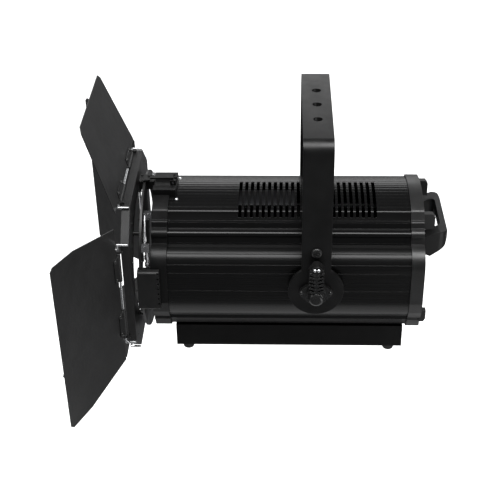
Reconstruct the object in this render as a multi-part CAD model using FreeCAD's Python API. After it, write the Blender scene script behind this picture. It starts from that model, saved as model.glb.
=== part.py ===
import FreeCAD, Part
import math
import os
from FreeCAD import Vector

os.makedirs("parts", exist_ok=True)

# LED theatre spotlight with zoom optics and four barn doors, hung in a U-shaped yoke.
# Working frame, millimetres: the tilt axis is the Y axis, +Z is up and the light shines
# towards -X. Left is -Y and right is +Y. write() lowers everything by YOKE_TOP, which
# puts the origin on top of the yoke bar, at the centre clamp hole.

# Yoke: one flat bar, bent twice
YOKE_TOP = 222.0
YOKE_HALF = 120.5
BAR_WIDTH = 40.0
BAR_THICK = 5.0
BEND_R = 18.0
DISC_R = 37.8
CLAMP_HOLE_R = 6.5
CLAMP_HOLE_PITCH = 46.7
GUIDE_SCREW_Z = 61.3
YOKE_INNER = YOKE_HALF - BAR_THICK

# Tilt pivot
STUD_R = 5.0
RUNNING = 0.05
GAP = 0.3
BOSS_R = 22.0
BOSS_END = 113.0

# Body extrusion: half of its cross-section, from the bottom to the crown (Y, Z)
BODY_FRONT = -204.0
BODY_REAR = 130.0
BOTTOM_Z = -85.0
SIDE_Y = 106.0
SIDE_LOW = -29.0
SIDE_HIGH = 22.0
SHOULDER_R = 25.0
CROWN_Z = 96.0
CROWN_R = 140.0
ROOF_EDGE_Y = 51.0
ROOF_CORNER_R = 4.0
ROOF_BASE_ANGLE = 24.0
WALL = 2.5
SEAM_Z = 49.5

# Vents and flutes in the roof
SLOT_FIRST_X = -106.8
SLOT_PITCH = 8.07
SLOT_COUNT = 24
SLOT_WIDTH = 4.6
SLOT_LEFT_Y = -57.0
SLOT_RIGHT_Y = 15.0
FLUTE_PITCH = 7.2
FLUTE_COUNT = 7
FLUTE_R = 4.0
FLUTE_RISE = 3.84

# Bezels
BEZEL_GROW = 2.6
FRONT_BEZEL_X = -226.0
REAR_BEZEL_X = 148.0
PANEL_X = 141.0
PANEL_THICK = 2.0

# Optics, on the optical axis
AXIS_Z = -5.5
LENS_R = 72.0
APERTURE_R = 70.0
LENS_X = -222.0

# Driver box under the body, and its feet
BOX_FRONT = -198.0
BOX_REAR = 126.0
BOX_HALF = 82.0
BOX_BOTTOM = -120.0
SHEET = 1.5
FOOT_X = (-182.0, 108.0)
FOOT_Y = 70.0
FOOT_HEIGHT = 11.0

# Zoom drive and carriage
ROD_Y = 82.0
ROD_R = 4.0
SCREW_Y = 76.0
SCREW_Z = 24.0
SCREW_R = 4.0
CARRIAGE_X = -112.0
CARRIAGE_THICK = 5.0
FIN_COUNT = 18
FIN_PITCH = 4.2
FAN_HALF = 46.0
FAN_X = -26.0
FAN_DEPTH = 25.0

# Ring, clips and latch that hold the barn doors
RING_X = -241.0
RING_THICK = 3.0
RING_R = 113.5
RING_BORE = 92.0
STANDOFF_R = 96.5
CLIP_GAP = 0.4

# Barn-door frame: a square with cut corners, turned slightly in its clips
FRAME_FRONT = -262.0
FRAME_DEPTH = 11.0
FRAME_HALF = 118.2
CORNER_CUT = 39.0
FRAME_SHEET = 1.5
DOOR_ROLL = 2.1
DOOR_APERTURE_R = 92.0
HINGE_X = -266.0
HINGE_OFFSET = 118.6
HINGE_ROD_R = 1.6
KNUCKLE_R = 3.1
KNUCKLE_Y = 46.0
KNUCKLE_LENGTH = 44.0
RIVET_PITCH = 30.0
LEAF_SHEET = 1.2
LEAF_ROOT = 4.5

# Each leaf: how it is turned about the optical axis, how far it stands open, and its
# outline as (distance from the hinge, half width)
SIDE_LEAF = ((LEAF_ROOT, 110.0), (93.6, 129.8), (137.0, 131.0), (142.2, 126.0))
CAP_LEAF = ((LEAF_ROOT, 103.8), (119.0, 85.2), (125.9, 78.0))
LEAVES = (
    ("top", 0.0, 71.1, CAP_LEAF),
    ("left", 90.0, 64.2, SIDE_LEAF),
    ("bottom", 180.0, 30.8, CAP_LEAF),
    ("right", 270.0, 50.2, SIDE_LEAF),
)

# Controls and sockets on the rear panel
BUTTON_Y = (-16.5, -5.5, 5.5, 16.5)
BUTTON_NAMES = ("menu", "down", "up", "enter")
BUTTON_Z = -11.0
BUTTON_R = 3.8
DATA_SOCKETS = ((-66.0, -46.0), (-34.0, -46.0))
POWER_SOCKETS = ((4.0, -46.0), (42.0, -46.0))

X_AXIS = Vector(1, 0, 0)
Y_AXIS = Vector(0, 1, 0)
Z_AXIS = Vector(0, 0, 1)
ORIGIN = Vector(0, 0, 0)


def box(x, y, z):
    """A box from three (low, high) ranges."""
    return Part.makeBox(x[1] - x[0], y[1] - y[0], z[1] - z[0], Vector(x[0], y[0], z[0]))


def rod(start, direction, radius, length):
    return Part.makeCylinder(radius, length, Vector(*start), direction)


def tube(start, direction, outer, inner, length):
    return rod(start, direction, outer, length).cut(rod(start, direction, inner, length))


def prism_x(points, x0, x1):
    """A (Y, Z) polygon, extruded along X."""
    corners = [Vector(x0, y, z) for y, z in points]
    return Part.Face(Part.makePolygon(corners + corners[:1])).extrude(X_AXIS * (x1 - x0))


def prism_y(points, y0, y1):
    """An (X, Z) polygon, extruded along Y."""
    corners = [Vector(x, y0, z) for x, z in points]
    return Part.Face(Part.makePolygon(corners + corners[:1])).extrude(Y_AXIS * (y1 - y0))


def prism_z(points, z0, z1):
    """An (X, Y) polygon, extruded along Z."""
    corners = [Vector(x, y, z0) for x, y in points]
    return Part.Face(Part.makePolygon(corners + corners[:1])).extrude(Z_AXIS * (z1 - z0))


def fused(shapes):
    return shapes[0].multiFuse(shapes[1:]).removeSplitter()


def mirrored(shape):
    return shape.mirror(ORIGIN, Y_AXIS)


def pair(shape):
    """The shape and its mirror image on the other side."""
    return Part.makeCompound([shape, mirrored(shape)])


def turned(shape, angle, centre=ORIGIN, axis=X_AXIS):
    copy = shape.copy()
    copy.rotate(centre, axis, angle)
    return copy


def write(node, shape):
    placed = shape.copy()
    placed.translate(Vector(0, 0, -YOKE_TOP))
    placed.exportStep(f"parts/{node}.step")
    box_ = placed.BoundBox
    print(f"{node:26s} solids {len(placed.Solids):3d} volume {placed.Volume / 1000:9.2f} cm3 "
          f"valid {placed.isValid()} x {box_.XMin:.1f}..{box_.XMax:.1f} "
          f"y {box_.YMin:.1f}..{box_.YMax:.1f} z {box_.ZMin:.1f}..{box_.ZMax:.1f}")


# ---------------------------------------------------------------- body cross-section

def on_circle(centre, radius, angle):
    a = math.radians(angle)
    return (centre[0] + radius * math.cos(a), centre[1] + radius * math.sin(a))


def line(a, b):
    return Part.makeLine(Vector(0, *a), Vector(0, *b))


def arc(centre, radius, first, last):
    points = [on_circle(centre, radius, a) for a in (first, (first + last) / 2, last)]
    return Part.Arc(*[Vector(0, *p) for p in points]).toShape()


def roof_edges(inset):
    """Crown and rounded roof corner, from the roof's base to the crown."""
    crown_centre = (0, CROWN_Z - CROWN_R)
    corner_angle = math.degrees(math.acos(ROOF_EDGE_Y / CROWN_R))
    touch = on_circle(crown_centre, CROWN_R, corner_angle)
    centre = (touch[0] - ROOF_CORNER_R * math.cos(math.radians(corner_angle)),
              touch[1] - ROOF_CORNER_R * math.sin(math.radians(corner_angle)))
    corner = arc(centre, ROOF_CORNER_R - inset, ROOF_BASE_ANGLE, corner_angle)
    crown = arc(crown_centre, CROWN_R - inset, corner_angle, 90)
    base = on_circle(centre, ROOF_CORNER_R - inset, ROOF_BASE_ANGLE)
    return base, [corner, crown]


def section_face(edges):
    """A closed face from the edges of the right half and their mirror images."""
    whole = edges + [mirrored(e) for e in edges]
    return Part.Face(Part.Wire(Part.sortEdges(whole)[0]))


def outer_section():
    """Outside of the extrusion: flat bottom, cut lower corners, vertical sides, rounded
    shoulders, a groove, a bead, a narrow ledge and the arched roof."""
    shoulder = (SIDE_Y - SHOULDER_R, SIDE_HIGH)
    bead_centre, bead_r = (70.5, 60.0), 5.0
    bead_low, bead_high = on_circle(bead_centre, bead_r, -35), on_circle(bead_centre, bead_r, 80)
    base, roof = roof_edges(0)
    top = (shoulder[0], SIDE_HIGH + SHOULDER_R)
    low = [(0, BOTTOM_Z), (76, BOTTOM_Z), (84, -79), (88, -70), (92.5, -65), (92.5, -60),
           (95.5, -57), (102, -46), (SIDE_Y, SIDE_LOW), (SIDE_Y, SIDE_HIGH)]
    high = [bead_high, (65.5, 66.5), (63.5, 74), (59.5, 75.2), base]
    edges = [line(a, b) for a, b in zip(low, low[1:])]
    edges.append(arc(shoulder, SHOULDER_R, 0, 90))
    edges += [line(top, (77.5, 47)), line((77.5, 47), (75.5, 53)), line((75.5, 53), bead_low)]
    edges.append(arc(bead_centre, bead_r, -35, 80))
    edges += [line(a, b) for a, b in zip(high, high[1:])]
    return section_face(edges + roof)


def inner_section():
    """Inside of the extrusion, one wall in from the outside and without its ribs."""
    side = SIDE_Y - WALL
    shoulder = (SIDE_Y - SHOULDER_R, SIDE_HIGH)
    base, roof = roof_edges(WALL)
    low = [(0, BOTTOM_Z + WALL), (74.8, BOTTOM_Z + WALL), (81.4, -77), (86, -68),
           (89.5, -62), (93.2, -55), (99.5, -45), (side, SIDE_LOW), (side, SIDE_HIGH)]
    high = [(shoulder[0], SIDE_HIGH + SHOULDER_R - WALL), (72.5, 44.5), (62, 62), (59.5, 71.5), base]
    edges = [line(a, b) for a, b in zip(low, low[1:])]
    edges.append(arc(shoulder, SHOULDER_R - WALL, 0, 90))
    edges += [line(a, b) for a, b in zip(high, high[1:])]
    return section_face(edges + roof)


def along_x(face, x0, x1):
    copy = face.copy()
    copy.translate(Vector(x0, 0, 0))
    return copy.extrude(X_AXIS * (x1 - x0))


OUTER = outer_section()
INNER = inner_section()
BEZEL = OUTER.makeOffset2D(BEZEL_GROW)


# ---------------------------------------------------------------- yoke and its clamps

def yoke():
    """Flat bar bent into a U, with a round pivot plate at each end."""
    outside = box((-BAR_WIDTH / 2, BAR_WIDTH / 2), (-YOKE_HALF, YOKE_HALF), (0, YOKE_TOP))
    inside = box((-BAR_WIDTH, BAR_WIDTH), (-YOKE_INNER, YOKE_INNER), (-1, YOKE_TOP - BAR_THICK))
    corners = [e for e in outside.Edges if along(e, X_AXIS) and e.BoundBox.ZMin > YOKE_TOP - 1]
    inner_corners = [e for e in inside.Edges if along(e, X_AXIS) and e.BoundBox.ZMin > 1]
    bar = outside.makeFillet(BEND_R, corners).cut(inside.makeFillet(BEND_R - BAR_THICK, inner_corners))
    disc = rod((0, YOKE_INNER, 0), Y_AXIS, DISC_R, BAR_THICK)
    whole = fused([bar, disc, mirrored(disc)])
    bores = [rod((0, -YOKE_HALF - 1, 0), Y_AXIS, STUD_R + RUNNING, 2 * YOKE_HALF + 2)]
    for step in (-1, 0, 1):
        bores.append(rod((0, step * CLAMP_HOLE_PITCH, YOKE_TOP - BAR_THICK - 1), Z_AXIS,
                         CLAMP_HOLE_R, BAR_THICK + 2))
    bores.append(rod((0, -YOKE_HALF - 1, GUIDE_SCREW_Z), Y_AXIS, 3, 2 * YOKE_HALF + 2))
    return whole.cut(Part.makeCompound(bores))


def along(edge, direction):
    """Is the edge straight, and parallel to the direction?"""
    if edge.Curve.TypeId != "Part::GeomLine":
        return False
    return abs(edge.tangentAt(edge.FirstParameter).dot(direction)) > 0.999


def guide_screws():
    """Round-headed screw in each yoke arm, with a cross recess."""
    shank = rod((0, YOKE_INNER, GUIDE_SCREW_Z), Y_AXIS, 3, BAR_THICK)
    head = rod((0, YOKE_HALF, GUIDE_SCREW_Z), Y_AXIS, 7, 3.2)
    rim = [e for e in head.Edges if e.BoundBox.YMin > YOKE_HALF + 3]
    head = head.makeFillet(2.2, rim)
    for size in ((4.0, 0.6), (0.6, 4.0)):
        head = head.cut(box((-size[0], size[0]), (YOKE_HALF + 1.7, YOKE_HALF + 4),
                            (GUIDE_SCREW_Z - size[1], GUIDE_SCREW_Z + size[1])))
    return pair(fused([shank, head]))


def pivot_washers():
    return pair(tube((0, BOSS_END + GAP, 0), Y_AXIS, BOSS_R, STUD_R + 1, YOKE_INNER - BOSS_END - GAP))


def lever_hub():
    """Winged hub of the clamp lever, lying on the yoke's pivot plate."""
    outline = [(-23, 1), (-21, 5), (-9, 15), (9, 15), (21, 5), (23, 1), (21, -3), (9, -15), (-9, -15), (-21, -3)]
    plate = prism_y(outline, YOKE_HALF + GAP, YOKE_HALF + 7)
    upright = [e for e in plate.Edges if along(e, Y_AXIS)]
    plate = plate.makeFillet(1.8, upright)
    return fused([plate, rod((0, YOKE_HALF + GAP, 0), Y_AXIS, 13, 11)])


def lever_grip():
    """Narrow upright spine with a rounded foot at the bottom and a cap at the top."""
    inner, depth = YOKE_HALF + 5.5, 15.0
    spine = box((-3.0, 3.0), (inner, inner + depth), (-2, 44))
    web = box((-8.5, 8.5), (inner, inner + depth - 4.5), (-2, 44))
    foot = rod((0, inner, -1), Y_AXIS, 10.5, depth + 2)
    rim = [e for e in foot.Edges if e.BoundBox.YMin > inner + depth + 1.9]
    cap = fused([box((-9, 9), (inner, inner + depth), (42, 46)), rod((0, inner, 44), Y_AXIS, 8.0, depth)])
    return fused([spine, web, foot.makeFillet(5, rim), cap])


def lever_ribs():
    """Two columns of finger ribs that slope down to the spine."""
    ribs = []
    inner = YOKE_HALF + 5.5
    for row in range(6):
        z = 9.5 + row * 5.6
        rib = box((1.5, 10.8), (inner, inner + 16.5), (z, z + 2.7))
        outer = [e for e in rib.Edges if along(e, Y_AXIS)]
        rib = rib.makeFillet(1.2, outer)
        ribs.append(turned(rib, -16, Vector(1.5, inner, z), Y_AXIS))
    return ribs + [r.mirror(ORIGIN, X_AXIS) for r in ribs]


def wing_studs():
    """Small domed studs at the tips of the hub's wings and at the top of the grip."""
    domes = [(x, YOKE_HALF + 6.6, 1.5, 2.4) for x in (-19.5, 19.5)]
    domes += [(x, YOKE_HALF + 20.0, 46.0, 2.3) for x in (-2.6, 2.6)]
    return [Part.makeSphere(r, Vector(x, y, z)) for x, y, z, r in domes]


def clamp_lever():
    """Moulded lever for the right side, bored for its stud."""
    whole = fused([lever_hub(), lever_grip()] + lever_ribs() + wing_studs())
    return whole.cut(rod((0, YOKE_HALF - 1, 0), Y_AXIS, STUD_R, 12))


def clamp_stud():
    return rod((0, 97, 0), Y_AXIS, STUD_R, YOKE_HALF + 11 - 97)


# ---------------------------------------------------------------- housing

def barrel_shell():
    """Lower part of the extrusion: bottom, sides and shoulders, as an open trough."""
    shell = along_x(OUTER, BODY_FRONT, BODY_REAR).cut(along_x(INNER, BODY_FRONT - 1, BODY_REAR + 1))
    low = box((BODY_FRONT - 1, BODY_REAR + 1), (-SIDE_Y - 1, SIDE_Y + 1), (BOTTOM_Z - 1, SEAM_Z))
    cuts = [rod((0, -SIDE_Y - 1, 0), Y_AXIS, STUD_R + 0.5, 2 * SIDE_Y + 2)]
    shoulder = (SIDE_Y - SHOULDER_R, SIDE_HIGH)
    lines = [on_circle(shoulder, SHOULDER_R, a) for a in (56, 22)] + [(SIDE_Y, 18.5), (SIDE_Y, -10)]
    for y, z in lines:
        groove = rod((BODY_FRONT - 1, y, z), X_AXIS, 0.6, BODY_REAR - BODY_FRONT + 2)
        cuts += [groove, mirrored(groove)]
    return shell.common(low).cut(Part.makeCompound(cuts))


def flutes():
    """Shallow round grooves along the roof, evenly spaced round the crown."""
    grooves = []
    for k in range(FLUTE_COUNT):
        s = FLUTE_PITCH * (k + 0.5)
        turn = 90 - math.degrees(s / CROWN_R)
        y, z = on_circle((0, CROWN_Z - CROWN_R), CROWN_R + FLUTE_RISE, turn)
        grooves.append(rod((BODY_FRONT - 1, y, z), X_AXIS, FLUTE_R, BODY_REAR - BODY_FRONT + 2))
    return grooves + [mirrored(g) for g in grooves]


def top_cover():
    """Arched roof with its bead and ledge, fluted and slotted for air."""
    shell = along_x(OUTER, BODY_FRONT, BODY_REAR).cut(along_x(INNER, BODY_FRONT - 1, BODY_REAR + 1))
    high = box((BODY_FRONT - 1, BODY_REAR + 1), (-SIDE_Y - 1, SIDE_Y + 1), (SEAM_Z, CROWN_Z + 1))
    slots = []
    for k in range(SLOT_COUNT):
        x = SLOT_FIRST_X + k * SLOT_PITCH
        slots.append(box((x, x + SLOT_WIDTH), (SLOT_LEFT_Y, SLOT_RIGHT_Y), (77, CROWN_Z + 1)))
    return shell.common(high).cut(Part.makeCompound(flutes())).cut(Part.makeCompound(slots))


def front_bezel():
    """Cast end frame with a round opening for the lens."""
    block = along_x(BEZEL, FRONT_BEZEL_X, BODY_FRONT)
    hollow = along_x(INNER, FRONT_BEZEL_X + 4, BODY_FRONT + 1)
    opening = rod((FRONT_BEZEL_X - 1, 0, AXIS_Z), X_AXIS, APERTURE_R, 6)
    return block.cut(hollow).cut(opening)


def rear_bezel():
    """Cast end frame with lugs that guard the corners of the rear panel."""
    ring = along_x(BEZEL, BODY_REAR, REAR_BEZEL_X).cut(along_x(INNER, BODY_REAR - 1, REAR_BEZEL_X + 1))
    upper = prism_y([(143.3, 58), (164, 58), (164, 77), (160, 82), (148, 82), (148, 86), (143.3, 86)], 44.5, 52.5)
    lower = prism_y([(146, -66), (152, -66), (155, -61), (155, -48), (146, -48)], 88, 97)
    return fused([ring, upper, mirrored(upper), lower, mirrored(lower)])


def latch_base():
    """Channel over the front bezel's crown: a rail on each side, a tongue behind the ring, hinge ears."""
    block = box((-227, -195), (-26, 26), (82, 104.5))
    block = block.cut(box((-228, -194), (-13, 13), (100.6, 105)))
    block = block.cut(along_x(OUTER, BODY_FRONT, -190)).cut(along_x(BEZEL, -230, BODY_FRONT))
    tongue = box((RING_X + RING_THICK + CLIP_GAP, -226.5), (-5, 5), (94, 106.0))
    ears = [box((-204, -196), (y0, y0 + 3), (97, 108.5)) for y0 in (-6.5, 3.5)]
    whole = fused([block, tongue] + ears)
    return whole.cut(rod((-200, -20, 104.5), Y_AXIS, 1.5, 40))


def latch_pin():
    return rod((-200, -6.5, 104.5), Y_AXIS, 1.5, 13)


def accessory_latch():
    """Narrow arm along the channel; its wide head hooks over the ring and hinges up to let it out."""
    arm = box((-236, -200), (-2.6, 2.6), (108.6, 111))
    lever = box((-202.5, -199), (-2.6, 2.6), (104, 111))
    knuckle = rod((-200, -3, 104.5), Y_AXIS, 3.6, 6)
    head = prism_z([(RING_X - 6, -12), (RING_X - 6, 9), (-232, 6), (-232, -9)], 108.6, 111)
    hook = box((RING_X - 6, RING_X - CLIP_GAP), (-12, 9), (97, 110))
    pins = [rod((x, y, 111), Z_AXIS, 1.7, 1.2) for x, y in ((-244, 5), (-234, 2.5))]
    whole = fused([arm, lever, knuckle, head, hook] + pins)
    return whole.cut(rod((-200, -20, 104.5), Y_AXIS, 1.5 + RUNNING, 40))


def side_clip():
    """Guide on the right of the front bezel that the ring turns in, toothed at its rear edge."""
    block = box((-243.5, -214), (103.5, 118), (-35, 26))
    upright = [e for e in block.Edges if along(e, X_AXIS) and e.BoundBox.YMin > 110]
    block = block.makeFillet(4, upright)
    block = block.cut(along_x(BEZEL, FRONT_BEZEL_X, -200))
    groove = rod((RING_X - CLIP_GAP, 0, AXIS_Z), X_AXIS, RING_R + CLIP_GAP, RING_THICK + 2 * CLIP_GAP)
    notches = [box((-217, -213), (115.5, 119), (z, z + 3)) for z in range(-26, 24, 8)]
    return block.cut(groove).cut(Part.makeCompound(notches))


def bent_wire(points, radius):
    """Round wire through the points, with a ball at each bend."""
    pieces = []
    for a, b in zip(points, points[1:]):
        run = Vector(*b) - Vector(*a)
        pieces.append(rod(a, run, radius, run.Length))
    for p in points[1:-1]:
        pieces.append(Part.makeSphere(radius, Vector(*p)))
    return fused(pieces)


def retainer():
    """Bright bracket above the side clip with a pin and two collars, tied by a rod to one on the roof corner."""
    bracket = box((-236.5, -226.1), (98, 107), (52, 61))
    upper = box((-237, -226.1), (52, 61), (76, 86))
    tie = bent_wire([(-235.5, 58, 83), (-232.5, 102, 57)], 1.7)
    pin = rod((-230, 104, 26.2), Z_AXIS, 2.2, 27)
    collars = [rod((-230, 104, z), Z_AXIS, 3.4, 5) for z in (40, 29)]
    return fused([bracket, upper, tie, pin] + collars)


def lens():
    """Stepped Fresnel lens: a flat back and a front of ring-shaped steps."""
    steps = 9
    ring = LENS_R / steps
    profile = [(0.0, 6.0)]
    for k in range(steps):
        profile.append(((k + 1) * ring, 4.4))
        if k < steps - 1:
            profile.append(((k + 1) * ring, 6.0))
    profile += [(LENS_R, 0.0), (0.0, 0.0)]
    corners = [Vector(LENS_X + 6.0 - h, 0, AXIS_Z + r) for r, h in profile]
    face = Part.Face(Part.makePolygon(corners + corners[:1]))
    return face.revolve(Vector(0, 0, AXIS_Z), X_AXIS, 360)


def lens_ring():
    return tube((LENS_X + 6.0, 0, AXIS_Z), X_AXIS, 73.5, 67.0, 3.0)


def driver_box():
    """Folded sheet tray under the body, closed by its own lid below."""
    outside = box((BOX_FRONT, BOX_REAR), (-BOX_HALF, BOX_HALF), (BOX_BOTTOM + SHEET, BOTTOM_Z))
    inside = box((BOX_FRONT + SHEET, BOX_REAR - SHEET), (-BOX_HALF + SHEET, BOX_HALF - SHEET),
                 (BOX_BOTTOM, BOTTOM_Z - SHEET))
    trimmed = outside.cut(inside)
    return trimmed.cut(along_x(OUTER, BODY_FRONT, BODY_REAR))


def driver_lid():
    return box((BOX_FRONT, BOX_REAR), (-BOX_HALF, BOX_HALF), (BOX_BOTTOM, BOX_BOTTOM + SHEET))


def rubber_feet():
    feet = []
    for x in FOOT_X:
        cone = Part.makeCone(9.2, 7.6, FOOT_HEIGHT, Vector(x, FOOT_Y, BOX_BOTTOM), -Z_AXIS)
        edge = [e for e in cone.Edges if e.BoundBox.ZMax < BOX_BOTTOM - FOOT_HEIGHT + 0.1]
        foot = cone.makeFillet(2.5, edge)
        feet += [foot, mirrored(foot)]
    return Part.makeCompound(feet)


def pivot_bosses():
    """Turned boss on each side that the clamp stud enters."""
    flange = rod((0, SIDE_Y, 0), Y_AXIS, BOSS_R, BOSS_END - SIDE_Y)
    backing = rod((0, 97.5, 0), Y_AXIS, 14, SIDE_Y - WALL - 97.5)
    neck = rod((0, 97.5, 0), Y_AXIS, STUD_R + 0.5, SIDE_Y - 97.5)
    bore = rod((0, 90, 0), Y_AXIS, STUD_R + RUNNING, 40)
    return pair(fused([flange, backing, neck]).cut(bore))


def carry_handle():
    """Moulded bow handle across the rear: a rounded bar between two feet that flare down to the panel."""
    face = PANEL_X + PANEL_THICK
    outside = box((face, 183), (-58, 58), (18, 57))
    corners = [e for e in outside.Edges if along(e, Z_AXIS) and e.BoundBox.XMin > 180]
    inside = box((face - 1, 174), (-38, 38), (17, 58))
    inner_corners = [e for e in inside.Edges if along(e, Z_AXIS) and e.BoundBox.XMin > 170]
    bow = outside.makeFillet(13, corners).cut(inside.makeFillet(7, inner_corners))
    side = prism_y([(face, 24), (150, 22), (160, 18), (180, 33), (183, 43), (183, 53), (180, 57), (171, 57),
                    (150, 48), (face, 46)], -60, 60)
    middle = box((face, 200), (-34, 34), (10, 41))
    return bow.common(side).cut(middle)


def rear_panel():
    """Flat plate across the rear, cut out for the sockets, buttons, display and screw."""
    plate = along_x(INNER.makeOffset2D(-0.3), PANEL_X, PANEL_X + PANEL_THICK)
    x = PANEL_X - 1
    cuts = [rod((x, y, BUTTON_Z), X_AXIS, BUTTON_R + GAP, 4) for y in BUTTON_Y]
    cuts += [rod((x, y, z), X_AXIS, 11.1, 4) for y, z in DATA_SOCKETS]
    cuts += [rod((x, y, z), X_AXIS, 13.1, 4) for y, z in POWER_SOCKETS]
    cuts.append(rod((x, SCREW_Y, SCREW_Z), X_AXIS, SCREW_R + 0.5, 4))
    cuts.append(rod((x, 72, -46), X_AXIS, 6.0, 4))
    cuts.append(box((x, x + 4), (-24, 24), (0.5, 16.5)))
    return plate.cut(Part.makeCompound(cuts))


def display_window():
    """Clear window in a thin frame, over the panel's cut-out."""
    x = PANEL_X + PANEL_THICK
    return fused([box((x, x + 1.6), (-27, 27), (-2, 19)), box((PANEL_X, x), (-24, 24), (0.5, 16.5))])


def control_board():
    """Board behind the panel with the display module and a switch under each button."""
    board = box((125.0, 126.6), (-36, 36), (-20, 28))
    screen = box((126.6, PANEL_X - 0.5), (-22, 22), (2, 15))
    keys = [box((126.6, 131.0), (y - 3, y + 3), (BUTTON_Z - 3, BUTTON_Z + 3)) for y in BUTTON_Y]
    return fused([board, screen] + keys)


def button(y):
    cap = rod((133.0, y, BUTTON_Z), X_AXIS, BUTTON_R, 13.0)
    rim = [e for e in cap.Edges if e.BoundBox.XMin > 145.9]
    return cap.makeFillet(0.8, rim)


def socket(y, z, flange, outer, bore, pins, pin_circle):
    """Panel socket: a flanged barrel with a ring of pins at the bottom of its bore."""
    x = PANEL_X + PANEL_THICK
    plate = box((x, x + 2.5), (y - flange[0], y + flange[0]), (z - flange[1], z + flange[1]))
    corners = [e for e in plate.Edges if along(e, X_AXIS)]
    plate = plate.makeFillet(3, corners)
    barrel = rod((x - 24, y, z), X_AXIS, outer, 24)
    hollow = rod((x - 17, y, z), X_AXIS, bore, 20)
    parts = [fused([plate, barrel]).cut(hollow)]
    for k in range(pins):
        py, pz = on_circle((y, z), pin_circle, 90 + k * 360 / pins)
        parts.append(rod((x - 19, py, pz), X_AXIS, 1.2, 11))
    return fused(parts)


def data_sockets():
    return Part.makeCompound([socket(y, z, (13, 15.5), 11.0, 8.6, 5, 4.9) for y, z in DATA_SOCKETS])


def power_sockets():
    return Part.makeCompound([socket(y, z, (14, 15.5), 13.0, 10.6, 3, 5.8) for y, z in POWER_SOCKETS])


def fuse_holder():
    """Screw-in fuse cap with a knurled edge and a coin slot."""
    cap = rod((PANEL_X + PANEL_THICK, 72, -46), X_AXIS, 8.5, 5.5)
    body = rod((PANEL_X - 22, 72, -46), X_AXIS, 6.0, 24)
    slot = box((147.0, 150), (66.5, 77.5), (-46.8, -45.2))
    return fused([cap, body]).cut(slot)


def panel_screws():
    """Countersunk-style button screws that hold the rear panel and both bezels."""
    x = PANEL_X + PANEL_THICK
    spots = [(96, -28), (87, 40), (66, -74), (30, 86.5)]
    heads = []
    for y, z in spots:
        head = rod((x, y, z), X_AXIS, 3.2, 2.0)
        edge = [e for e in head.Edges if e.BoundBox.XMin > x + 1.9]
        head = head.makeFillet(1.2, edge).cut(box((x + 1.0, x + 3), (y - 2, y + 2), (z - 0.4, z + 0.4)))
        heads += [head, mirrored(head)] if y != 30 else [mirrored(head)]
    return Part.makeCompound(heads)


def cover_screws():
    """Domed screws that hold the roof down behind the latch channel."""
    domes = [Part.makeSphere(2.6, Vector(-193.5, y, 91.9)) for y in (-31.0, 31.0)]
    return Part.makeCompound([d.cut(along_x(OUTER, -200, -188)) for d in domes])


def lid_screws():
    heads = []
    for x in (-150.0, -36.0, 78.0):
        head = rod((x, 76, BOX_BOTTOM), -Z_AXIS, 3.0, 1.6)
        heads += [head, mirrored(head)]
    return Part.makeCompound(heads)


# ---------------------------------------------------------------- inside the housing

def end_plate(x0, x1, opening):
    """Plate across the body that carries the guide rods and the lead screw."""
    face = INNER.makeOffset2D(-0.3)
    plate = along_x(face, x0, x1).cut(rod((x0 - 1, 0, AXIS_Z), X_AXIS, opening, x1 - x0 + 2))
    bores = [rod((x0 - 1, y, AXIS_Z), X_AXIS, ROD_R, x1 - x0 + 2) for y in (-ROD_Y, ROD_Y)]
    bores.append(rod((x0 - 1, SCREW_Y, SCREW_Z), X_AXIS, SCREW_R + RUNNING, x1 - x0 + 2))
    return plate.cut(Part.makeCompound(bores))


def rod_plates():
    return Part.makeCompound([end_plate(-203, -200, 66), end_plate(112, 115, 45)])


def guide_rods():
    return pair(rod((-203, ROD_Y, AXIS_Z), X_AXIS, ROD_R, 318))


def carriage():
    """Plate that slides on the rods and is driven by the screw."""
    x1 = CARRIAGE_X + CARRIAGE_THICK
    outline = [(-94, -22), (-60, -68), (60, -68), (94, -22), (94, 14), (80, 38), (60, 50), (-60, 50), (-94, 12)]
    plate = prism_x(outline, CARRIAGE_X, x1)
    bores = [rod((CARRIAGE_X - 1, y, AXIS_Z), X_AXIS, 7.0, 10) for y in (-ROD_Y, ROD_Y)]
    bores.append(rod((CARRIAGE_X - 1, SCREW_Y, SCREW_Z), X_AXIS, 6.5, 10))
    return plate.cut(Part.makeCompound(bores))


def carriage_bushes():
    """Plain bearing on each guide rod."""
    sleeve = tube((CARRIAGE_X - 6, ROD_Y, AXIS_Z), X_AXIS, 7.0, ROD_R + RUNNING, 22)
    return pair(sleeve)


def drive_nut():
    return tube((CARRIAGE_X - 4, SCREW_Y, SCREW_Z), X_AXIS, 6.5, SCREW_R + RUNNING, 14)


def led_module():
    """Light engine on the front of the carriage: board, emitter and holder."""
    board = box((CARRIAGE_X - 3, CARRIAGE_X), (-32, 32), (AXIS_Z - 32, AXIS_Z + 32))
    emitter = rod((CARRIAGE_X - 4.5, 0, AXIS_Z), X_AXIS, 16, 1.5)
    collar = tube((CARRIAGE_X - 12, 0, AXIS_Z), X_AXIS, 27, 20, 9)
    return fused([board, emitter, collar])


def heat_sink():
    """Stack of fins threaded on heat pipes behind the carriage, with a flat cap under the vents."""
    x0 = CARRIAGE_X + CARRIAGE_THICK
    fins = []
    for k in range(FIN_COUNT):
        x = x0 + 6 + k * FIN_PITCH
        fins.append(box((x, x + 1.0), (-50, 50), (AXIS_Z - 52, AXIS_Z + 58)))
        fins.append(box((x, x + 1.0), (-27, 15), (AXIS_Z + 57, 80)))
    block = box((x0, x0 + 4), (-30, 30), (AXIS_Z - 30, AXIS_Z + 30))
    pipes = [rod((x0 + 2, y, AXIS_Z + z), X_AXIS, 4, FIN_COUNT * FIN_PITCH + 3)
             for y in (-24, 24) for z in (-20, 20)]
    cap = box((x0 - 3, x0 + FIN_COUNT * FIN_PITCH + 5), (-28, 16), (80, 82))
    return fused([block, cap] + pipes + fins)


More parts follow.
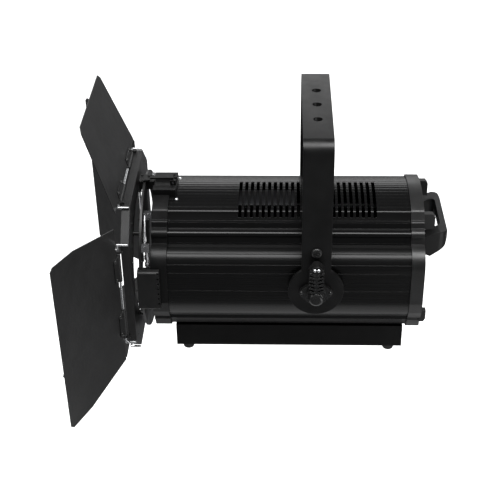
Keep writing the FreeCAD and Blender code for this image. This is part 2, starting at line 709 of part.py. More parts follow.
def fan_frame():
    """Square fan housing with a round duct and a spider that carries the motor."""
    x1 = FAN_X + FAN_DEPTH
    zs = (AXIS_Z - FAN_HALF, AXIS_Z + FAN_HALF)
    shell = box((FAN_X, x1), (-FAN_HALF, FAN_HALF), zs).cut(rod((FAN_X - 1, 0, AXIS_Z), X_AXIS, 43.5, 30))
    motor = rod((x1 - 5, 0, AXIS_Z), X_AXIS, 17, 5)
    arms = [turned(box((x1 - 4, x1), (-2.5, 2.5), (15, 44.5)), a, Vector(0, 0, 0)) for a in (45, 135, 225, 315)]
    for arm in arms:
        arm.translate(Vector(0, 0, AXIS_Z))
    shaft = rod((x1 - 16, 0, AXIS_Z), X_AXIS, 2, 12)
    x0 = CARRIAGE_X + CARRIAGE_THICK
    legs = [box((x0, FAN_X), (y, y + 5), (AXIS_Z - 60, AXIS_Z - 53)) for y in (-48, 43)]
    feet = [box((FAN_X - 1, FAN_X), (y, y + 5), (AXIS_Z - 60, AXIS_Z - 40)) for y in (-48, 43)]
    return fused([shell, motor, shaft] + arms + legs + feet)


def fan_rotor():
    """Hub cup with seven pitched blades."""
    x0 = FAN_X + 3
    hub = rod((x0, 0, 0), X_AXIS, 17, 15).cut(rod((x0 - 1, 0, 0), X_AXIS, 2 + RUNNING, 20))
    blades = []
    for k in range(7):
        blade = box((x0 + 6.5, x0 + 8), (-8, 8), (15, 42.5))
        blade.rotate(Vector(x0 + 7.2, 0, 0), Z_AXIS, 32)
        blades.append(turned(blade, k * 360 / 7))
    rotor = fused([hub] + blades)
    rotor = rotor.common(rod((x0 - 5, 0, 0), X_AXIS, 42.5, 30))
    rotor.translate(Vector(0, 0, AXIS_Z))
    return rotor


def lead_screw():
    """Screw from the front end plate to the knob."""
    return rod((-200, SCREW_Y, SCREW_Z), X_AXIS, SCREW_R, 352)


def zoom_knob():
    """Fluted knob on the end of the lead screw."""
    knob = rod((144.0, SCREW_Y, SCREW_Z), X_AXIS, 13.0, 20.0)
    face = [e for e in knob.Edges if e.BoundBox.XMin > 163.9]
    knob = knob.makeFillet(1.5, face)
    cuts = [rod((143, SCREW_Y, SCREW_Z), X_AXIS, SCREW_R, 9)]
    for k in range(16):
        y, z = on_circle((SCREW_Y, SCREW_Z), 13.6, k * 22.5)
        cuts.append(rod((149.5, y, z), X_AXIS, 1.3, 16))
    return knob.cut(Part.makeCompound(cuts))


def led_driver():
    """Encapsulated supply in the box under the body."""
    block = box((-100, 50), (-40, 40), (BOX_BOTTOM + SHEET, -92))
    tabs = [box((x, x + 12), (-20, 20), (BOX_BOTTOM + SHEET, BOX_BOTTOM + SHEET + 3)) for x in (-112, 50)]
    return fused([block] + tabs)


# ---------------------------------------------------------------- barn doors

def in_doors(shape, turn=0.0):
    """Places a shape built about the X axis onto the optical axis, as the doors are rolled."""
    placed = turned(shape, turn + DOOR_ROLL)
    placed.translate(Vector(0, 0, AXIS_Z))
    return placed


def octagon(half, cut):
    a = half - cut
    return [(-a, half), (a, half), (half, a), (half, -a), (a, -half), (-a, -half), (-half, -a), (-half, a)]


def door_frame():
    """Flanged plate with a round opening, and ears that hold the hinge rods."""
    rear = FRAME_FRONT + FRAME_DEPTH
    inner_cut = CORNER_CUT - FRAME_SHEET * (2 - math.sqrt(2))
    outside = prism_x(octagon(FRAME_HALF, CORNER_CUT), FRAME_FRONT, rear)
    inside = prism_x(octagon(FRAME_HALF - FRAME_SHEET, inner_cut), FRAME_FRONT - 1, rear - FRAME_SHEET)
    frame = outside.cut(inside).cut(rod((rear - 5, 0, 0), X_AXIS, DOOR_APERTURE_R, 10))
    ears = []
    for turn in (0, 90, 180, 270):
        for y in (-73.5, 70.5):
            ear = box((HINGE_X - 2.6, FRAME_FRONT + 3), (y, y + 3), (FRAME_HALF - FRAME_SHEET, FRAME_HALF + 3.4))
            ear = ear.cut(rod((HINGE_X, y - 1, HINGE_OFFSET), Y_AXIS, HINGE_ROD_R, 5))
            ears.append(turned(ear, turn))
    holes = []
    for turn in (45, 135, 225, 315):
        for y in (-9, 9):
            holes.append(turned(rod((rear - 5, y, 128), X_AXIS, 1.6, 10), turn))
    return in_doors(fused([frame] + ears).cut(Part.makeCompound(holes)))


def door_ring():
    """Flat ring with a rolled lip, on four stand-offs behind the frame: the clips and the latch hold it."""
    rear = FRAME_FRONT + FRAME_DEPTH
    flange = tube((RING_X, 0, 0), X_AXIS, RING_R, RING_BORE, RING_THICK)
    lip = tube((RING_X - 3, 0, 0), X_AXIS, RING_BORE + 1.5, RING_BORE, RING_THICK + 3)
    posts = [turned(rod((rear, 0, STANDOFF_R), X_AXIS, 3.2, RING_X - rear), turn) for turn in (45, 135, 225, 315)]
    return in_doors(fused([flange, lip] + posts))


def hinge_rod():
    """Steel rod along one side of the frame, with both ends bent back over its corners."""
    half = 82.5
    reach = FRAME_FRONT + FRAME_DEPTH - 1 - HINGE_X
    points = [(HINGE_X + reach, -half, HINGE_OFFSET), (HINGE_X, -half, HINGE_OFFSET),
              (HINGE_X, half, HINGE_OFFSET), (HINGE_X + reach, half, HINGE_OFFSET)]
    return bent_wire(points, HINGE_ROD_R)


def hinge_rods():
    return Part.makeCompound([in_doors(hinge_rod(), turn) for _, turn, _, _ in LEAVES])


def leaf_plate(outline):
    """Sheet leaf in the plane of its hinge axis, lying towards -X from the hinge."""
    right = [(HINGE_X - u, w) for u, w in outline]
    left = [(x, -w) for x, w in reversed(right)]
    corners = [Vector(x, y, HINGE_OFFSET - LEAF_SHEET / 2) for x, y in right + left]
    plate = Part.Face(Part.makePolygon(corners + corners[:1])).extrude(Z_AXIS * LEAF_SHEET)
    holes = [rod((HINGE_X - 9.5, y, HINGE_OFFSET - 2), Z_AXIS, 1.5, 4) for y in rivet_places()]
    return plate.cut(Part.makeCompound(holes))


def rivet_places():
    return [side * KNUCKLE_Y + step * RIVET_PITCH / 2 for side in (-1, 1) for step in (-1, 1)]


def leaf_brackets():
    """Two hinge brackets: a knuckle round the rod and a tab on the leaf."""
    low = HINGE_OFFSET + LEAF_SHEET / 2
    brackets = []
    for side in (-1, 1):
        y0 = side * KNUCKLE_Y - KNUCKLE_LENGTH / 2
        knuckle = rod((HINGE_X, y0, HINGE_OFFSET), Y_AXIS, KNUCKLE_R, KNUCKLE_LENGTH)
        slot = box((HINGE_X - 5, HINGE_X - 1), (y0 + 12, y0 + KNUCKLE_LENGTH - 12), (110, 130))
        outline = [(HINGE_X, y0), (HINGE_X - 13, y0 + 5), (HINGE_X - 13, y0 + KNUCKLE_LENGTH - 5),
                   (HINGE_X, y0 + KNUCKLE_LENGTH)]
        corners = [Vector(x, y, low) for x, y in outline]
        tab = Part.Face(Part.makePolygon(corners + corners[:1])).extrude(Z_AXIS * 1.4)
        whole = fused([knuckle, tab]).cut(rod((HINGE_X, y0 - 1, HINGE_OFFSET), Y_AXIS,
                                              HINGE_ROD_R + RUNNING, KNUCKLE_LENGTH + 2))
        root = box((HINGE_X - LEAF_ROOT, HINGE_X - LEAF_ROOT + 2), (y0, y0 + KNUCKLE_LENGTH),
                   (low - LEAF_SHEET, low))
        brackets.append(whole.cut(slot.common(rod((HINGE_X, y0, HINGE_OFFSET), Y_AXIS, 2.2,
                                                  KNUCKLE_LENGTH))).cut(root))
    rivets = []
    for y in rivet_places():
        shank = rod((HINGE_X - 9.5, y, HINGE_OFFSET - LEAF_SHEET / 2 - 1), Z_AXIS, 1.5, LEAF_SHEET + 2.4)
        head = Part.makeSphere(3.0, Vector(HINGE_X - 9.5, y, low + 0.2))
        cap = head.common(box((HINGE_X - 14, HINGE_X - 5), (y - 4, y + 4), (low + 1.3, low + 5)))
        rivets += [shank, cap]
    return fused(brackets[:1] + rivets[:4]), fused(brackets[1:] + rivets[4:])


def swung(shape, turn, opening):
    """Opens a leaf about its hinge rod, then turns it to its side of the frame."""
    opened = turned(shape, opening, Vector(HINGE_X, 0, HINGE_OFFSET), Y_AXIS)
    return in_doors(opened, turn)


def write_leaves():
    brackets = Part.makeCompound(list(leaf_brackets()))
    for name, turn, opening, outline in LEAVES:
        write(f"{name}_leaf", swung(leaf_plate(outline), turn, opening))
        write(f"{name}_leaf_brackets", swung(brackets, turn, opening))


def main():
    write("yoke", yoke())
    write("yoke_guide_screws", guide_screws())
    write("pivot_washers", pivot_washers())
    lever, stud = clamp_lever(), clamp_stud()
    write("right_clamp_lever", lever)
    write("right_clamp_stud", stud)
    write("left_clamp_lever", mirrored(lever))
    write("left_clamp_stud", mirrored(stud))
    write("barrel_shell", barrel_shell())
    write("top_cover", top_cover())
    write("front_bezel", front_bezel())
    write("rear_bezel", rear_bezel())
    write("rear_panel", rear_panel())
    write("latch_base", latch_base())
    write("latch_pin", latch_pin())
    write("cover_screws", cover_screws())
    write("accessory_latch", accessory_latch())
    write("side_clips", pair(side_clip()))
    write("retainers", pair(retainer()))
    write("fresnel_lens", lens())
    write("lens_retaining_ring", lens_ring())
    write("driver_box", driver_box())
    write("driver_box_lid", driver_lid())
    write("lid_screws", lid_screws())
    write("rubber_feet", rubber_feet())
    write("pivot_bosses", pivot_bosses())
    write("carry_handle", carry_handle())
    write("display_window", display_window())
    write("control_board", control_board())
    for name, y in zip(BUTTON_NAMES, BUTTON_Y):
        write(f"{name}_button", button(y))
    write("data_sockets", data_sockets())
    write("power_sockets", power_sockets())
    write("fuse_holder", fuse_holder())
    write("panel_screws", panel_screws())
    write("rod_plates", rod_plates())
    write("guide_rods", guide_rods())
    write("carriage_plate", carriage())
    write("carriage_bushes", carriage_bushes())
    write("drive_nut", drive_nut())
    write("led_module", led_module())
    write("heat_sink", heat_sink())
    write("fan_frame", fan_frame())
    write("fan_rotor", fan_rotor())
    write("lead_screw", lead_screw())
    write("zoom_knob", zoom_knob())
    write("led_driver", led_driver())
    write("door_frame", door_frame())
    write("door_ring", door_ring())
    write("hinge_rods", hinge_rods())
    write_leaves()


main()
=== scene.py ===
import math

import bmesh
import bpy
from mathutils import Matrix, Vector


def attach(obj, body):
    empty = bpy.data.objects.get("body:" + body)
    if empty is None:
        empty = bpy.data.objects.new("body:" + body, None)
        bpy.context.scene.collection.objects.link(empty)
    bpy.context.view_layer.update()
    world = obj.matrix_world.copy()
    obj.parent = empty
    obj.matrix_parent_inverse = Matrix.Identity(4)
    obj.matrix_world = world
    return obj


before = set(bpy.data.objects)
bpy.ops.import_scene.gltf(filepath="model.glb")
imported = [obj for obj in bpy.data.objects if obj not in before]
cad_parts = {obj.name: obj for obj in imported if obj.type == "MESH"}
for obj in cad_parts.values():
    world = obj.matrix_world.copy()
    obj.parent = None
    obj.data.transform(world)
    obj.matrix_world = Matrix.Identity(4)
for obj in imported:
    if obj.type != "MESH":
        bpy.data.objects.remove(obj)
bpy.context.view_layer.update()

# Places in the row's frame, in metres: the origin is the centre clamp hole, +Z is up and
# the light shines towards -X.
TILT_Z = -0.222
AXIS_Z = TILT_Z - 0.0055
EMITTER_X = -0.1165
EMITTER_R = 0.0145
WINDOW_X = 0.1446
WINDOW_Z = TILT_Z + 0.0085
DIGIT_PITCH = 0.0092
DIGIT_HALF_WIDTH = 0.0022
DIGIT_HALF_HEIGHT = 0.0042
BAR = 0.0009
SEGMENT_DEPTH = 0.00015
STUD_R = 0.00245
STUD_X = 0.0026
STUD_Y = 0.1405
STUD_Z = TILT_Z + 0.046
KNOB_FACE_X = 0.164
KNOB_Y = 0.076
KNOB_Z = TILT_Z + 0.024
MARK_HALF_WIDTH = 0.0006
MARK_START = 0.003
MARK_END = 0.0105
MARK_DEPTH = 0.0001
FLOOR_Z = -0.95
FLOOR_HALF = 7.0
DOME_HEIGHT = 0.0035
DOME_STEPS = 8
CAMERA_PLACE = (-0.0437, -1.3629, 0.6149)
CAMERA_LENS = 79.1
SENSOR_WIDTH = 36.0


# ---------------------------------------------------------------- material helpers

class Tree:
    """A material's node tree, with short calls for the nodes that the materials share."""

    def __init__(self, name):
        self.material = bpy.data.materials.new(name)
        self.material.use_nodes = True
        self.nodes = self.material.node_tree.nodes
        self.links = self.material.node_tree.links
        self.shader = self.nodes["Principled BSDF"]
        self.place = self.nodes.new("ShaderNodeTexCoord").outputs["Object"]

    def put(self, **values):
        """Sets constants on the shader's own sockets."""
        for name, value in values.items():
            self.shader.inputs[name.replace("_", " ")].default_value = value

    def link(self, output, name):
        self.links.new(output, self.shader.inputs[name])

    def stretch(self, scale):
        """Object coordinates, scaled along each axis."""
        node = self.nodes.new("ShaderNodeMapping")
        node.inputs["Scale"].default_value = scale
        self.links.new(self.place, node.inputs["Vector"])
        return node.outputs["Vector"]

    def noise(self, scale, detail=3.0, vector=None, rough=0.5):
        node = self.nodes.new("ShaderNodeTexNoise")
        node.inputs["Scale"].default_value = scale
        node.inputs["Detail"].default_value = detail
        node.inputs["Roughness"].default_value = rough
        self.links.new(vector or self.place, node.inputs["Vector"])
        return node.outputs["Fac"]

    def cells(self, scale, feature="F1"):
        node = self.nodes.new("ShaderNodeTexVoronoi")
        node.feature = feature
        node.inputs["Scale"].default_value = scale
        self.links.new(self.place, node.inputs["Vector"])
        return node.outputs["Distance"]

    def math(self, operation, a, b, clamp=False):
        node = self.nodes.new("ShaderNodeMath")
        node.operation = operation
        node.use_clamp = clamp
        for socket, value in zip(node.inputs, (a, b)):
            if isinstance(value, (int, float)):
                socket.default_value = value
            else:
                self.links.new(value, socket)
        return node.outputs["Value"]

    def ramp(self, factor, stops):
        """Colour ramp from (position, grey or colour) stops."""
        node = self.nodes.new("ShaderNodeValToRGB")
        elements = node.color_ramp.elements
        while len(elements) < len(stops):
            elements.new(0.5)
        for element, (position, colour) in zip(elements, stops):
            element.position = position
            shade = (colour,) * 3 if isinstance(colour, (int, float)) else colour
            element.color = (*shade, 1.0)
        self.links.new(factor, node.inputs["Fac"])
        return node.outputs["Color"]

    def mix(self, factor, a, b):
        node = self.nodes.new("ShaderNodeMix")
        node.data_type = "RGBA"
        self.links.new(factor, node.inputs["Factor"])
        for socket, value in ((node.inputs[6], a), (node.inputs[7], b)):
            if isinstance(value, tuple):
                socket.default_value = (*value, 1.0)
            else:
                self.links.new(value, socket)
        return node.outputs[2]

    def bump(self, layers, rounding=0.0):
        """Bump from (height, strength, depth) layers over edges rounded by a radius."""
        normal = None
        if rounding:
            bevel = self.nodes.new("ShaderNodeBevel")
            bevel.samples = 4
            bevel.inputs["Radius"].default_value = rounding
            normal = bevel.outputs["Normal"]
        for height, strength, depth in layers:
            node = self.nodes.new("ShaderNodeBump")
            node.inputs["Strength"].default_value = strength
            node.inputs["Distance"].default_value = depth
            self.links.new(height, node.inputs["Height"])
            if normal:
                self.links.new(normal, node.inputs["Normal"])
            normal = node.outputs["Normal"]
        self.link(normal, "Normal")

    def edge_wear(self, radius, low, high):
        """1 on worn edges: where the rounded normal leaves the true one, broken up by noise."""
        bevel = self.nodes.new("ShaderNodeBevel")
        bevel.samples = 4
        bevel.inputs["Radius"].default_value = radius
        geometry = self.nodes.new("ShaderNodeNewGeometry")
        dot = self.nodes.new("ShaderNodeVectorMath")
        dot.operation = "DOT_PRODUCT"
        self.links.new(bevel.outputs["Normal"], dot.inputs[0])
        self.links.new(geometry.outputs["Normal"], dot.inputs[1])
        edge = self.math("SUBTRACT", 1.0, dot.outputs["Value"])
        broken = self.math("MULTIPLY", edge, self.noise(260.0, 4.0))
        return self.ramp(broken, ((low, 0.0), (high, 1.0)))


def powder_coat(name, dark, light, rough, specular, rounding=0.0004, grain=1500.0, wear=None):
    """Powder-coated metal: fine orange peel, cloudy sheen and lighter worn edges."""
    t = Tree(name)
    clouds = t.noise(22.0, 4.0)
    colour = t.ramp(clouds, ((0.3, dark), (0.75, light)))
    if wear:
        colour = t.mix(t.edge_wear(0.0007, 0.10, 0.26), colour, wear)
    t.link(colour, "Base Color")
    t.link(t.ramp(t.noise(60.0, 5.0), ((0.3, rough - 0.05), (0.72, rough + 0.07))), "Roughness")
    t.put(Specular_IOR_Level=specular)
    t.bump(((t.noise(grain, 2.0), 0.16, 0.0002),), rounding)
    return t.material


def extruded(name, dark, light, rough, specular):
    """Black extrusion: fine die lines along its length under a thin coat."""
    t = Tree(name)
    lines = t.noise(60.0, 5.0, t.stretch((0.06, 24.0, 24.0)), 0.65)
    clouds = t.noise(15.0, 3.0)
    t.link(t.ramp(t.math("MULTIPLY", lines, clouds), ((0.12, dark), (0.42, light))), "Base Color")
    t.link(t.ramp(lines, ((0.3, rough - 0.04), (0.7, rough + 0.08))), "Roughness")
    t.put(Specular_IOR_Level=specular)
    t.bump(((lines, 0.03, 0.0001), (t.noise(1800.0, 1.0), 0.05, 0.0001)), 0.0003)
    return t.material


def moulded(name, dark, light, rough, specular=0.4, grain=1300.0, depth=0.12):
    """Moulded plastic with a fine pebbled skin."""
    t = Tree(name)
    t.link(t.ramp(t.noise(70.0, 3.0), ((0.3, dark), (0.75, light))), "Base Color")
    t.link(t.ramp(t.noise(120.0, 3.0), ((0.3, rough - 0.06), (0.7, rough + 0.08))), "Roughness")
    t.put(Specular_IOR_Level=specular)
    t.bump(((t.cells(grain, "SMOOTH_F1"), depth, 0.0002),), 0.0004)
    return t.material


def plated(name, colour, rough, streak=(1.0, 1.0, 1.0)):
    """Bright metal with fine streaks and a little dulling."""
    t = Tree(name)
    shade = t.noise(90.0, 4.0)
    low = tuple(c * 0.78 for c in colour)
    t.link(t.ramp(shade, ((0.3, low), (0.7, colour))), "Base Color")
    lines = t.noise(700.0, 3.0, t.stretch(streak))
    t.link(t.ramp(lines, ((0.3, max(rough - 0.08, 0.04)), (0.7, rough + 0.1))), "Roughness")
    t.put(Metallic=1.0)
    t.bump(((lines, 0.06, 0.0001),), 0.0003)
    return t.material


def rubber(name):
    t = Tree(name)
    t.link(t.ramp(t.noise(160.0, 5.0), ((0.3, 0.006), (0.75, 0.016))), "Base Color")
    t.link(t.ramp(t.noise(300.0, 3.0), ((0.3, 0.62), (0.7, 0.8))), "Roughness")
    t.put(Specular_IOR_Level=0.3)
    t.bump(((t.noise(900.0, 4.0), 0.2, 0.0003),), 0.0004)
    return t.material


def pressed_glass(name):
    """Clear glass with the slight ripple of a pressed lens."""
    t = Tree(name)
    t.put(Transmission_Weight=1.0, IOR=1.47)
    t.link(t.ramp(t.noise(40.0, 2.0), ((0.3, (0.90, 0.95, 0.93)), (0.7, (0.97, 0.99, 0.98)))), "Base Color")
    t.link(t.ramp(t.noise(200.0, 3.0), ((0.3, 0.02), (0.7, 0.06))), "Roughness")
    t.bump(((t.noise(90.0, 2.0), 0.08, 0.0004),))
    return t.material


def tinted_window(name):
    t = Tree(name)
    tint = ((0.3, (0.004, 0.006, 0.010)), (0.7, (0.008, 0.011, 0.018)))
    t.link(t.ramp(t.noise(60.0, 2.0), tint), "Base Color")
    t.link(t.ramp(t.noise(400.0, 3.0), ((0.3, 0.05), (0.7, 0.12))), "Roughness")
    t.put(Coat_Weight=0.6, Coat_Roughness=0.03)
    t.bump(((t.noise(60.0, 1.0), 0.02, 0.0003),), 0.0003)
    return t.material


def circuit(name):
    """Solder mask with lighter copper runs."""
    t = Tree(name)
    runs = t.cells(240.0, "DISTANCE_TO_EDGE")
    t.link(t.ramp(runs, ((0.02, (0.05, 0.16, 0.08)), (0.06, (0.012, 0.06, 0.028)))), "Base Color")
    t.link(t.ramp(t.noise(300.0), ((0.3, 0.3), (0.7, 0.45))), "Roughness")
    t.bump(((runs, 0.1, 0.0002),), 0.0002)
    return t.material


def phosphor(name):
    """Yellow phosphor over the LED dies."""
    t = Tree(name)
    t.link(t.ramp(t.cells(420.0), ((0.0, (0.80, 0.62, 0.10)), (0.6, (0.68, 0.48, 0.06)))), "Base Color")
    t.link(t.ramp(t.noise(500.0), ((0.3, 0.35), (0.7, 0.5))), "Roughness")
    t.bump(((t.cells(420.0), 0.2, 0.0003),))
    return t.material


def glowing(name, colour, strength):
    """Lit segments on the face of the display window, slightly uneven."""
    t = Tree(name)
    t.link(t.ramp(t.noise(500.0), ((0.3, tuple(c * 0.7 for c in colour)), (0.7, colour))), "Base Color")
    t.link(t.ramp(t.noise(700.0), ((0.3, tuple(c * 0.8 for c in colour)), (0.7, colour))), "Emission Color")
    t.put(Emission_Strength=strength)
    return t.material


MATERIALS = {
    "housing": extruded("housing_extrusion", 0.0010, 0.0022, 0.25, 0.26),
    "cover": extruded("cover_extrusion", 0.0006, 0.0014, 0.20, 0.30),
    "casting": powder_coat("cast_bezel_paint", 0.004, 0.008, 0.36, 0.45, 0.0006, 1100.0, (0.03, 0.03, 0.031)),
    "front": powder_coat("front_casting_paint", 0.0015, 0.003, 0.38, 0.22, 0.0006, 1100.0,
                         (0.02, 0.02, 0.021)),
    "sheet": powder_coat("sheet_paint", 0.001, 0.002, 0.42, 0.14),
    "yoke": powder_coat("yoke_paint", 0.0018, 0.0035, 0.34, 0.30, 0.0006, 1300.0, (0.03, 0.03, 0.031)),
    "leaf": powder_coat("leaf_paint", 0.006, 0.010, 0.42, 0.40, 0.0003, 1700.0, (0.04, 0.04, 0.041)),
    "frame": powder_coat("door_frame_paint", 0.005, 0.009, 0.40, 0.40, 0.0004, 1500.0, (0.04, 0.04, 0.041)),
    # Heat sink: dark grey metal whose darkness is painted shade, standing in for the shadow inside the
    # housing seen through the roof slots.
    "heat_sink_shade": plated("dark_anodised", (0.10, 0.10, 0.105), 0.42, (4.0, 0.4, 0.4)),
    "screw": powder_coat("blackened_screw", 0.006, 0.012, 0.32, 0.45),
    "digits": glowing("display_segments", (0.25, 0.60, 1.0), 2.5),
    "mark": powder_coat("white_ink", 0.55, 0.65, 0.5, 0.3),
    "lever": moulded("lever_plastic", 0.003, 0.006, 0.26, 0.6),
    "handle": moulded("handle_plastic", 0.003, 0.006, 0.42, 0.3, 900.0, 0.2),
    "clip": moulded("clip_plastic", 0.003, 0.006, 0.42, 0.35),
    "socket": moulded("socket_plastic", 0.012, 0.020, 0.35),
    "power": moulded("power_socket_plastic", (0.006, 0.02, 0.06), (0.01, 0.03, 0.09), 0.30),
    "button": moulded("button_plastic", 0.05, 0.08, 0.40),
    "washer": moulded("washer_plastic", 0.010, 0.016, 0.5),
    "steel": plated("ground_steel", (0.52, 0.52, 0.53), 0.28, (0.2, 4.0, 4.0)),
    "zinc": plated("zinc_plate", (0.66, 0.67, 0.68), 0.24),
    "zinc_dull": plated("dull_zinc", (0.42, 0.42, 0.43), 0.26),
    "aluminium": plated("turned_aluminium", (0.60, 0.61, 0.62), 0.34, (4.0, 0.4, 0.4)),
    "bronze": plated("bearing_bronze", (0.58, 0.40, 0.17), 0.32),
    "glass": pressed_glass("lens_glass"),
    "window": tinted_window("display_tint"),
    "circuit": circuit("circuit_board"),
    "phosphor": phosphor("led_phosphor"),
    "rubber": rubber("foot_rubber"),
}

NODE_MATERIALS = {
    "housing": ("barrel_shell",),
    "cover": ("top_cover",),
    "casting": ("rear_bezel",),
    "front": ("front_bezel", "latch_base", "accessory_latch"),
    "sheet": ("rear_panel", "driver_box", "driver_box_lid", "carriage_plate", "rod_plates"),
    "yoke": ("yoke",),
    "leaf": ("top_leaf", "left_leaf", "bottom_leaf", "right_leaf"),
    "frame": ("door_frame", "door_ring", "top_leaf_brackets", "left_leaf_brackets",
              "bottom_leaf_brackets", "right_leaf_brackets"),
    "lever": ("left_clamp_lever", "right_clamp_lever"),
    "handle": ("carry_handle",),
    "clip": ("side_clips", "fan_frame", "fan_rotor", "zoom_knob", "fuse_holder"),
    "socket": ("data_sockets",),
    "power": ("power_sockets",),
    "button": ("menu_button", "down_button", "up_button", "enter_button"),
    "washer": ("pivot_washers",),
    "steel": ("guide_rods", "lead_screw", "left_clamp_stud", "right_clamp_stud", "latch_pin"),
    "zinc": ("hinge_rods", "panel_screws", "lid_screws", "cover_screws"),
    "zinc_dull": ("retainers",),
    "screw": ("yoke_guide_screws",),
    "heat_sink_shade": ("heat_sink",),
    "aluminium": ("pivot_bosses", "lens_retaining_ring", "led_driver"),
    "bronze": ("carriage_bushes", "drive_nut"),
    "glass": ("fresnel_lens",),
    "window": ("display_window",),
    "circuit": ("control_board", "led_module"),
    "rubber": ("rubber_feet",),
}


def dress_frame():
    """Gives every CAD node its material and smooth shading with crisp edges."""
    for key, names in NODE_MATERIALS.items():
        for name in names:
            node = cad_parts[name]
            node.data.materials.clear()
            node.data.materials.append(MATERIALS[key])
            smooth(node)


def smooth(obj, angle=32.0):
    """Welds the imported corners in a modifier and shades smooth below the angle."""
    for polygon in obj.data.polygons:
        polygon.use_smooth = True
    weld = obj.modifiers.new("weld", "WELD")
    weld.merge_threshold = 1e-6
    split = obj.modifiers.new("edges", "EDGE_SPLIT")
    split.split_angle = math.radians(angle)
    split.use_edge_sharp = False


# ---------------------------------------------------------------- small pieces

def piece(name, bm, material, body):
    """Turns a bmesh into a piece that rides one of the bodies."""
    bmesh.ops.recalc_face_normals(bm, faces=bm.faces)
    mesh = bpy.data.meshes.new(name)
    bm.to_mesh(mesh)
    bm.free()
    obj = bpy.data.objects.new(name, mesh)
    mesh.materials.append(MATERIALS[material])
    bpy.context.collection.objects.link(obj)
    smooth(obj)
    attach(obj, body)


def lathe(bm, profile, centre, steps=48):
    """Revolves (x, radius) points about the X direction through the centre."""
    rings = []
    for x, radius in profile:
        ring = []
        for k in range(steps):
            a = 2 * math.pi * k / steps
            offset = Vector((x, radius * math.cos(a), radius * math.sin(a)))
            ring.append(bm.verts.new(Vector(centre) + offset))
        rings.append(ring)
    for first, second in zip(rings, rings[1:]):
        for k in range(steps):
            after = (k + 1) % steps
            bm.faces.new((first[k], first[after], second[after], second[k]))
    for ring in (rings[0], rings[-1]):
        bm.faces.new(ring)


def block(bm, low, high):
    """Rectangular block between two corners."""
    centre = (Vector(low) + Vector(high)) / 2
    size = Vector(high) - Vector(low)
    place = Matrix.Translation(centre) @ Matrix.Diagonal((*size, 1.0))
    bmesh.ops.create_cube(bm, size=1.0, matrix=place)


def make_emitter_dome():
    """Shallow phosphor dome over the LED dies."""
    bm = bmesh.new()
    profile = []
    for k in range(DOME_STEPS + 1):
        a = math.pi / 2 * k / DOME_STEPS
        profile.append((-DOME_HEIGHT * math.cos(a), max(EMITTER_R * math.sin(a), 0.0002)))
    lathe(bm, profile, (EMITTER_X, 0.0, AXIS_Z))
    piece("emitter_dome", bm, "phosphor", "carriage")


def make_display_digits():
    """Three digits in seven-segment style on the window's face, from the bars that 0 and 1 need."""
    lit = {1: "ru rl", 0: "t b lu ll ru rl"}
    bm = bmesh.new()
    for place, digit in enumerate((1, 0, 0)):
        y = (place - 1) * DIGIT_PITCH
        side, tall = DIGIT_HALF_WIDTH, DIGIT_HALF_HEIGHT
        bars = {
            "t": (-side, side, tall - BAR, tall),
            "b": (-side, side, -tall, BAR - tall),
            "lu": (-side - BAR, -side, BAR, tall - BAR), "ll": (-side - BAR, -side, BAR - tall, -BAR),
            "ru": (side, side + BAR, BAR, tall - BAR), "rl": (side, side + BAR, BAR - tall, -BAR),
        }
        for key in lit[digit].split():
            y0, y1, z0, z1 = bars[key]
            block(bm, (WINDOW_X, y + y0, WINDOW_Z + z0), (WINDOW_X + SEGMENT_DEPTH, y + y1, WINDOW_Z + z1))
    piece("display_digits", bm, "digits", "housing")


def make_lever_studs():
    """Plated heads over the two small studs at the top of each clamp lever."""
    for body, side in (("left_clamp", -1), ("right_clamp", 1)):
        bm = bmesh.new()
        for x in (-STUD_X, STUD_X):
            place = Matrix.Translation((x, side * STUD_Y, STUD_Z))
            bmesh.ops.create_uvsphere(bm, u_segments=20, v_segments=12, radius=STUD_R, matrix=place)
        piece(body + "_studs", bm, "zinc", body)


def make_knob_mark():
    """White index line on the zoom knob's face."""
    bm = bmesh.new()
    low = (KNOB_FACE_X, KNOB_Y - MARK_HALF_WIDTH, KNOB_Z + MARK_START)
    high = (KNOB_FACE_X + MARK_DEPTH, KNOB_Y + MARK_HALF_WIDTH, KNOB_Z + MARK_END)
    block(bm, low, high)
    piece("knob_mark", bm, "mark", "zoom_drive")


# ---------------------------------------------------------------- stage

def make_floor():
    """Pale plain floor below the hanging lamp; it is left out of every reflection."""
    mesh = bpy.data.meshes.new("floor")
    bm = bmesh.new()
    bmesh.ops.create_grid(bm, x_segments=2, y_segments=2, size=FLOOR_HALF)
    bm.to_mesh(mesh)
    bm.free()
    floor = bpy.data.objects.new("floor", mesh)
    floor.location = (0, 0, FLOOR_Z)
    bpy.context.collection.objects.link(floor)
    t = Tree("floor_paper")
    t.link(t.ramp(t.noise(3.0, 2.0), ((0.3, 0.80), (0.7, 0.83))), "Base Color")
    t.put(Roughness=0.9, Specular_IOR_Level=0.1)
    mesh.materials.append(t.material)
    floor.visible_glossy = False


def make_world():
    world = bpy.data.worlds.new("studio")
    world.use_nodes = True
    background = world.node_tree.nodes["Background"]
    background.inputs["Color"].default_value = (0.93, 0.94, 0.96, 1.0)
    background.inputs["Strength"].default_value = 0.2
    bpy.context.scene.world = world


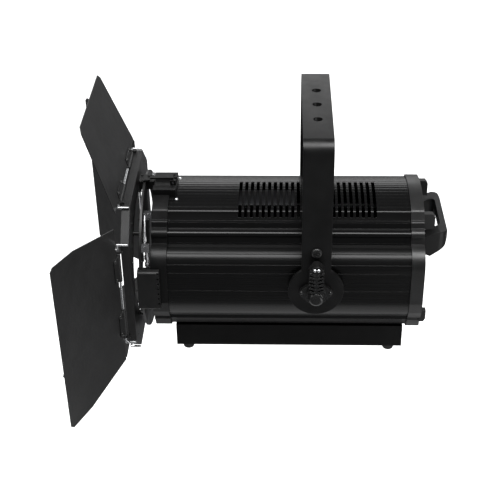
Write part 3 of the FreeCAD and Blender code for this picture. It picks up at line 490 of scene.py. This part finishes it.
def area_light(name, place, target, size, power, mirrored=True):
    """Soft rectangular light; one that isn't mirrored leaves no highlight."""
    light = bpy.data.lights.new(name, "AREA")
    light.shape = "RECTANGLE"
    light.size, light.size_y = size
    light.energy = power
    obj = bpy.data.objects.new(name, light)
    obj.location = place
    aim = Vector(target) - Vector(place)
    obj.rotation_euler = aim.to_track_quat("-Z", "Y").to_euler()
    obj.visible_camera = False
    obj.visible_glossy = mirrored
    bpy.context.collection.objects.link(obj)


def make_lights():
    centre = (-0.05, 0.0, -0.2)
    area_light("overhead_strip", (-0.1, -0.42, 1.25), centre, (2.8, 0.8), 62.0)
    area_light("back_softbox", (0.0, 5.5, 1.35), (0.0, 0.0, 0.3), (8.0, 1.9), 68.0)
    area_light("floor_wash", (0.0, 2.6, 3.2), (0.0, 2.0, -0.95), (6.0, 4.0), 330.0, False)
    area_light("under_card", (0.0, -0.25, -0.92), (0.0, -0.12, -0.3), (1.6, 0.5), 2.2)
    area_light("low_card", (0.80, -0.95, -0.75), (-0.1, -0.1, -0.25), (0.9, 0.5), 3.0)
    area_light("front_fill", (-2.0, -1.2, 0.7), centre, (1.2, 1.2), 6.0)
    area_light("rear_side_fill", (2.2, 0.5, 0.3), centre, (1.4, 1.4), 16.0)


def make_camera():
    """Looks along +Y and down, as the photographer did."""
    data = bpy.data.cameras.new("camera")
    data.sensor_width = SENSOR_WIDTH
    data.lens = CAMERA_LENS
    camera = bpy.data.objects.new("camera", data)
    bpy.context.collection.objects.link(camera)
    heading, tilt, roll = 0.0363, 0.5554, -0.0142
    turn = (Matrix.Rotation(heading, 4, "Z") @ Matrix.Rotation(math.pi / 2 - tilt, 4, "X")
            @ Matrix.Rotation(roll, 4, "Z"))
    camera.matrix_world = Matrix.Translation(CAMERA_PLACE) @ turn
    bpy.context.scene.camera = camera


dress_frame()
make_emitter_dome()
make_display_digits()
make_lever_studs()
make_knob_mark()
make_floor()
make_world()
make_lights()
make_camera()
bpy.context.scene.view_settings.view_transform = "Standard"
